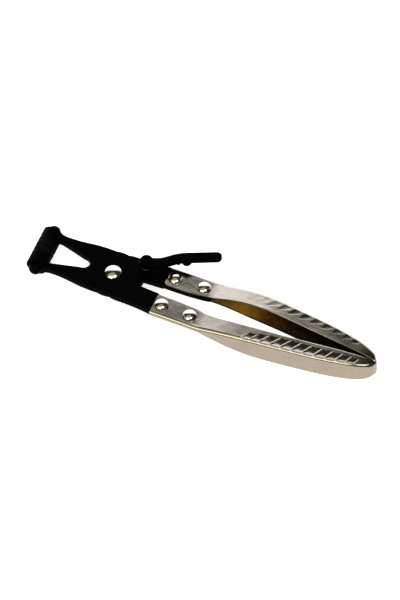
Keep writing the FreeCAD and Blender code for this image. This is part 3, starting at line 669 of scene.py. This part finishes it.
def outer_skin():
    """Grid of points (station, column) from the top inner edge round to the bottom one."""
    outer, inner = plan_edges()
    along = np.gradient(outer, axis=0)
    along /= np.linalg.norm(along, axis=1)[:, None]
    inward = np.stack([along[:, 1], -along[:, 0]], -1)
    inward[-1] = (-1, 0)
    inward[0] = (0, -1)
    span = np.maximum(0.4, np.linalg.norm(outer - inner, axis=1))
    radius = np.minimum(np.minimum(CORNER, 0.80 * half_depth(outer[:, 0])), 0.6 * span)
    top, bottom = (half_skin(is_top, outer, inner, inward, radius) for is_top in (True, False))

    down = np.linspace(0, 1, WALL_COLUMNS + 2)[1:-1]
    wall_z = top[0][:, -1:, 2] * (1 - down) + bottom[0][:, -1:, 2] * down
    plain = np.zeros_like(wall_z)
    wall = np.stack([outer[:, :1] + plain, outer[:, 1:] + plain, wall_z], -1)
    grid, painted_shade, wear_and_painted_highlight = (np.concatenate([upper, middle, lower[:, ::-1]], 1)
                          for upper, middle, lower in zip(top, (wall, plain, plain), bottom))
    grid[..., 0] = np.minimum(grid[..., 0], MAX_X)
    grid[..., 1] = np.minimum(grid[..., 1], MAX_Y)
    return grid, painted_shade, wear_and_painted_highlight


def inner_skin(grid):
    """The outer skin moved one sheet thickness into the channel."""
    into = unit(np.cross(np.gradient(grid, axis=1), np.gradient(grid, axis=0)))
    into[-1, :, 1] = 0
    into = unit(into)
    into[0, :, 0] = 0
    skin = grid + into * SHEET
    skin[..., 1] = np.maximum(skin[..., 1], SEAM_GAP)
    skin[..., 0] = np.minimum(skin[..., 0], MAX_X)
    skin[0, :, 0] = grid[0, :, 0]
    return skin


# material slots of the handle
HANDLE_SLOTS = (NICKEL, AMBER, SHEET_END, CUT_EDGE)
OUTSIDE, INSIDE, END_EDGE, LONG_EDGE = range(4)


def sheet_faces(stations, columns):
    """Faces of both skins and the cut edges between them, and their material slots."""
    offset = stations * columns
    faces, slots = [], []

    def vertex(i, j):
        return i * columns + j

    def put(face, slot):
        faces.append(face)
        slots.append(slot)

    def rim(a, b):
        return a, b, offset + b, offset + a

    for i in range(stations - 1):
        for j in range(columns - 1):
            quad = vertex(i, j), vertex(i + 1, j), vertex(i + 1, j + 1), vertex(i, j + 1)
            put(quad, OUTSIDE)
            put(tuple(offset + k for k in quad[::-1]), INSIDE)
    last = columns - 1
    for i in range(stations - 1):
        put(rim(vertex(i, 0), vertex(i + 1, 0))[::-1], LONG_EDGE)
        put(rim(vertex(i, last), vertex(i + 1, last)), LONG_EDGE)
    last = stations - 1
    for j in range(columns - 1):
        put(rim(vertex(0, j), vertex(0, j + 1)), END_EDGE)
        put(rim(vertex(last, j), vertex(last, j + 1))[::-1], END_EDGE)
    return faces, slots


def build_handle(name, turned):
    """Pressed channel handle as a closed sheet; `turned` rotates it half round X."""
    grid, painted_shade, wear_and_painted_highlight = outer_skin()
    points = np.concatenate([grid.reshape(-1, 3), inner_skin(grid).reshape(-1, 3)])
    if turned:
        points = points * np.array([1, -1, -1])
    faces, slots = sheet_faces(*painted_shade.shape)
    mesh = bpy.data.meshes.new(name)
    mesh.from_pydata((points * MM).tolist(), [], faces)
    for material in HANDLE_SLOTS:
        mesh.materials.append(material)
    mesh.polygons.foreach_set("material_index", slots)
    # mesh attributes for the nickel finish: painted shade and painted highlight
    for key, values in (("painted_shade", painted_shade), ("wear_and_painted_highlight", wear_and_painted_highlight)):
        values = np.concatenate([values.ravel(), np.zeros(values.size)])
        attribute = mesh.attributes.new(key, "FLOAT", "POINT")
        attribute.data.foreach_set("value", values.astype(np.float32))
    mesh.polygons.foreach_set("use_smooth", np.array(slots) != END_EDGE)
    bm = bmesh.new()
    bm.from_mesh(mesh)
    bmesh.ops.remove_doubles(bm, verts=bm.verts, dist=1e-7)
    bmesh.ops.recalc_face_normals(bm, faces=bm.faces)
    for edge in bm.edges:
        if len({face.material_index for face in edge.link_faces}) == 2 == len(edge.link_faces):
            edge.smooth = False
    bm.to_mesh(mesh)
    bm.free()
    handle = bpy.data.objects.new(name, mesh)
    scene.collection.objects.link(handle)
    return handle


for name, body, node, turned in (
    ("lever_handle_pressed", "lever_half", "lever_handle", False),
    ("plain_handle_pressed", "plain_half", "plain_handle", True),
):
    handle = build_handle(name, turned)
    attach(handle, body)
    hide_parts(node)

# ------------------------------------------------------------------ view directions
TURN, TILT = math.radians(23.4), math.radians(55.0)
RIGHT = Vector((math.cos(TURN), math.sin(TURN), 0))
UP = Vector((-math.sin(TURN) * math.sin(TILT), math.cos(TURN) * math.sin(TILT),
             math.cos(TILT)))
TO_CAMERA = RIGHT.cross(UP)
FAR = Vector((-math.sin(TURN), math.cos(TURN), 0))    # level, away from the camera


# ------------------------------------------------------------------ floor
def floor_paper():
    """White paper, evenly lit. Glossy rays see a painted reflection instead: a glowing
    emission in tan, dark and pale tones; from below it is clear.
    """
    m = Finish("floor_paper")
    grain = m.noise(scale=60.0, rough=0.5)
    m.surface({
        "Base Color": m.mix(m.fit(grain, over=(0.3, 0.7)), start=(0.93, 0.93, 0.93),
                            end=(0.95, 0.95, 0.95)),
        "Roughness": 0.9,
        "Specular IOR Level": 0.0,
        "Emission Color": (1, 1, 1, 1),
        "Emission Strength": 0.68,
    })
    # painted reflection: glossy rays get an emission toned by their direction, dark near
    # grazing, tan on the camera side and pale beyond
    incoming = m.geometry("Incoming")
    warm = m.mix(m.fit(m.split(incoming)[2], over=(0.14, 0.40), smooth=True),
                 start=(0.055, 0.052, 0.045), end=(0.735, 0.662, 0.562))
    pale = m.mix(m.fit(m.split(incoming)[2], over=(0.35, 0.70)),
                 start=(1.34, 1.32, 1.30), end=(0.80, 0.74, 0.67))
    painted_reflection = m.add("ShaderNodeEmission")
    across = m.fit(m.dot(incoming, tuple(FAR)), over=(-0.15, 0.15))
    m.feed(painted_reflection.inputs["Color"], m.mix(across, pale, warm))
    m.feed(painted_reflection.inputs["Strength"], 1.0)
    glossy = m.add("ShaderNodeLightPath").outputs["Is Glossy Ray"]
    paper = m.mix_shader(glossy, m.shader.outputs[0], painted_reflection.outputs[0])
    clear = m.add("ShaderNodeBsdfTransparent").outputs[0]
    m.feed(m.output.inputs[0], m.mix_shader(m.geometry("Backfacing"), paper, clear))
    return m.material


FLOOR_HALF, FLOOR_DROP = 3, 0.0002    # metres
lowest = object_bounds()[0][2]
mesh = bpy.data.meshes.new("floor")
mesh.from_pydata([(x * FLOOR_HALF, y * FLOOR_HALF, 0)
                  for x, y in ((-1, -1), (1, -1), (1, 1), (-1, 1))], [], [(0, 1, 2, 3)])
floor = bpy.data.objects.new("floor", mesh)
scene.collection.objects.link(floor)
floor.location.z = lowest - FLOOR_DROP
mesh.materials.append(floor_paper())


# ------------------------------------------------------------------ world
def studio():
    """White wall on the far side, dim elsewhere, with three panels of light overhead."""
    world = bpy.data.worlds.new("studio")
    scene.world = world
    world.use_nodes = True
    world.node_tree.nodes.clear()
    w = Nodes(world.node_tree, "Generated")
    far = w.dot(w.place, tuple(FAR))
    right = w.dot(w.place, tuple(RIGHT))
    x = w.split(w.place)[0]
    # degrees from the far horizon (0) over the zenith (90) to the near horizon (180)
    climb = w.times(w.math("ARCTAN2", w.split(w.place)[2], far), 180 / math.pi)
    # bright wall, rounded off towards its sides
    wall = w.minus(far, w.times(right, right, 0.28))
    sky = w.ramp(w.fit(wall, over=(0.0, 1.0)), [
        (0.0, (0.030, 0.028, 0.024)), (0.42, (0.032, 0.030, 0.025)),
        (0.49, (0.060, 0.055, 0.044)), (0.535, (0.135, 0.127, 0.105)),
        (0.56, (0.25, 0.237, 0.205)), (0.5736, (0.318, 0.303, 0.264)),
        (0.60, (0.57, 0.555, 0.52)), (0.635, (0.84, 0.82, 0.79)),
        (0.675, (1.13, 1.10, 1.08)), (0.74, 1.36), (1.0, 1.5)])

    def window(value, opens, closes):
        return (w.fit(value, over=opens, smooth=True), w.fit(value, over=closes, smooth=True))

    # mottled olive panel, warm strip light, then a small white softbox towards +X
    blob = w.noise(scale=3.4, detail=2.5, rough=0.55)
    olive = w.times(w.fit(climb, over=(72, 88), smooth=True), w.fit(climb, over=(124, 118)),
                    w.fit(blob, over=(0.40, 0.58), to=(0.45, 1.0)))
    strip = w.times(*window(climb, opens=(116, 128), closes=(168, 162)),
                    w.times(*window(x, opens=(-0.80, -0.68), closes=(0.26, 0.14))))
    softbox = w.times(*window(climb, opens=(104, 116), closes=(150, 138)),
                      w.times(*window(x, opens=(0.29, 0.37), closes=(0.80, 0.72))))
    sky = w.mix(w.times(olive, w.fit(x, over=(0.40, 0.20))), sky, end=(0.42, 0.40, 0.21))
    sky = w.mix(strip, sky, end=(1.95, 1.84, 1.38))
    sky = w.mix(softbox, sky, end=(2.3, 2.25, 2.1))
    # the camera itself sees plain white
    camera_ray = w.add("ShaderNodeLightPath").outputs["Is Camera Ray"]
    background = w.add("ShaderNodeBackground")
    w.feed(background.inputs["Color"], w.mix(camera_ray, sky, end=(1.0, 1.0, 1.0)))
    w.feed(w.add("ShaderNodeOutputWorld").inputs[0], background.outputs[0])


studio()


# ------------------------------------------------------------------ lights and camera
def area_light(name, location, size, power):
    """Square light aimed at the tongs, unseen in reflections."""
    data = bpy.data.lights.new(name, "AREA")
    data.shape = "SQUARE"
    data.size = size
    data.energy = power
    light = bpy.data.objects.new(name, data)
    scene.collection.objects.link(light)
    light.location = location
    aim = Vector((0.05, 0, 0)) - Vector(location)
    light.rotation_euler = aim.to_track_quat("-Z", "Y").to_euler()
    light.visible_glossy = False


area_light("key", location=(-0.3, 0.25, 1.1), size=1.2, power=9.0)
area_light("fill", location=(0.6, -0.9, 0.8), size=1.2, power=5.0)

CAMERA_DISTANCE = 1.0
camera_data = bpy.data.cameras.new("camera")
camera_data.type = "ORTHO"
camera_data.ortho_scale = 0.300
camera_data.clip_start = 0.01
camera_data.clip_end = 10
camera = bpy.data.objects.new("camera", camera_data)
scene.collection.objects.link(camera)
centre = Vector((0, 0, 0.00175)) + RIGHT * 0.0434 - UP * 0.01385
rotation = Matrix((RIGHT, UP, TO_CAMERA)).transposed().to_4x4()
camera.matrix_world = Matrix.Translation(centre + TO_CAMERA * CAMERA_DISTANCE) @ rotation
scene.camera = camera
scene.view_settings.view_transform = "Standard"
scene.view_settings.look = "None"
scene.view_settings.exposure = 0.0
scene.view_settings.gamma = 1.0
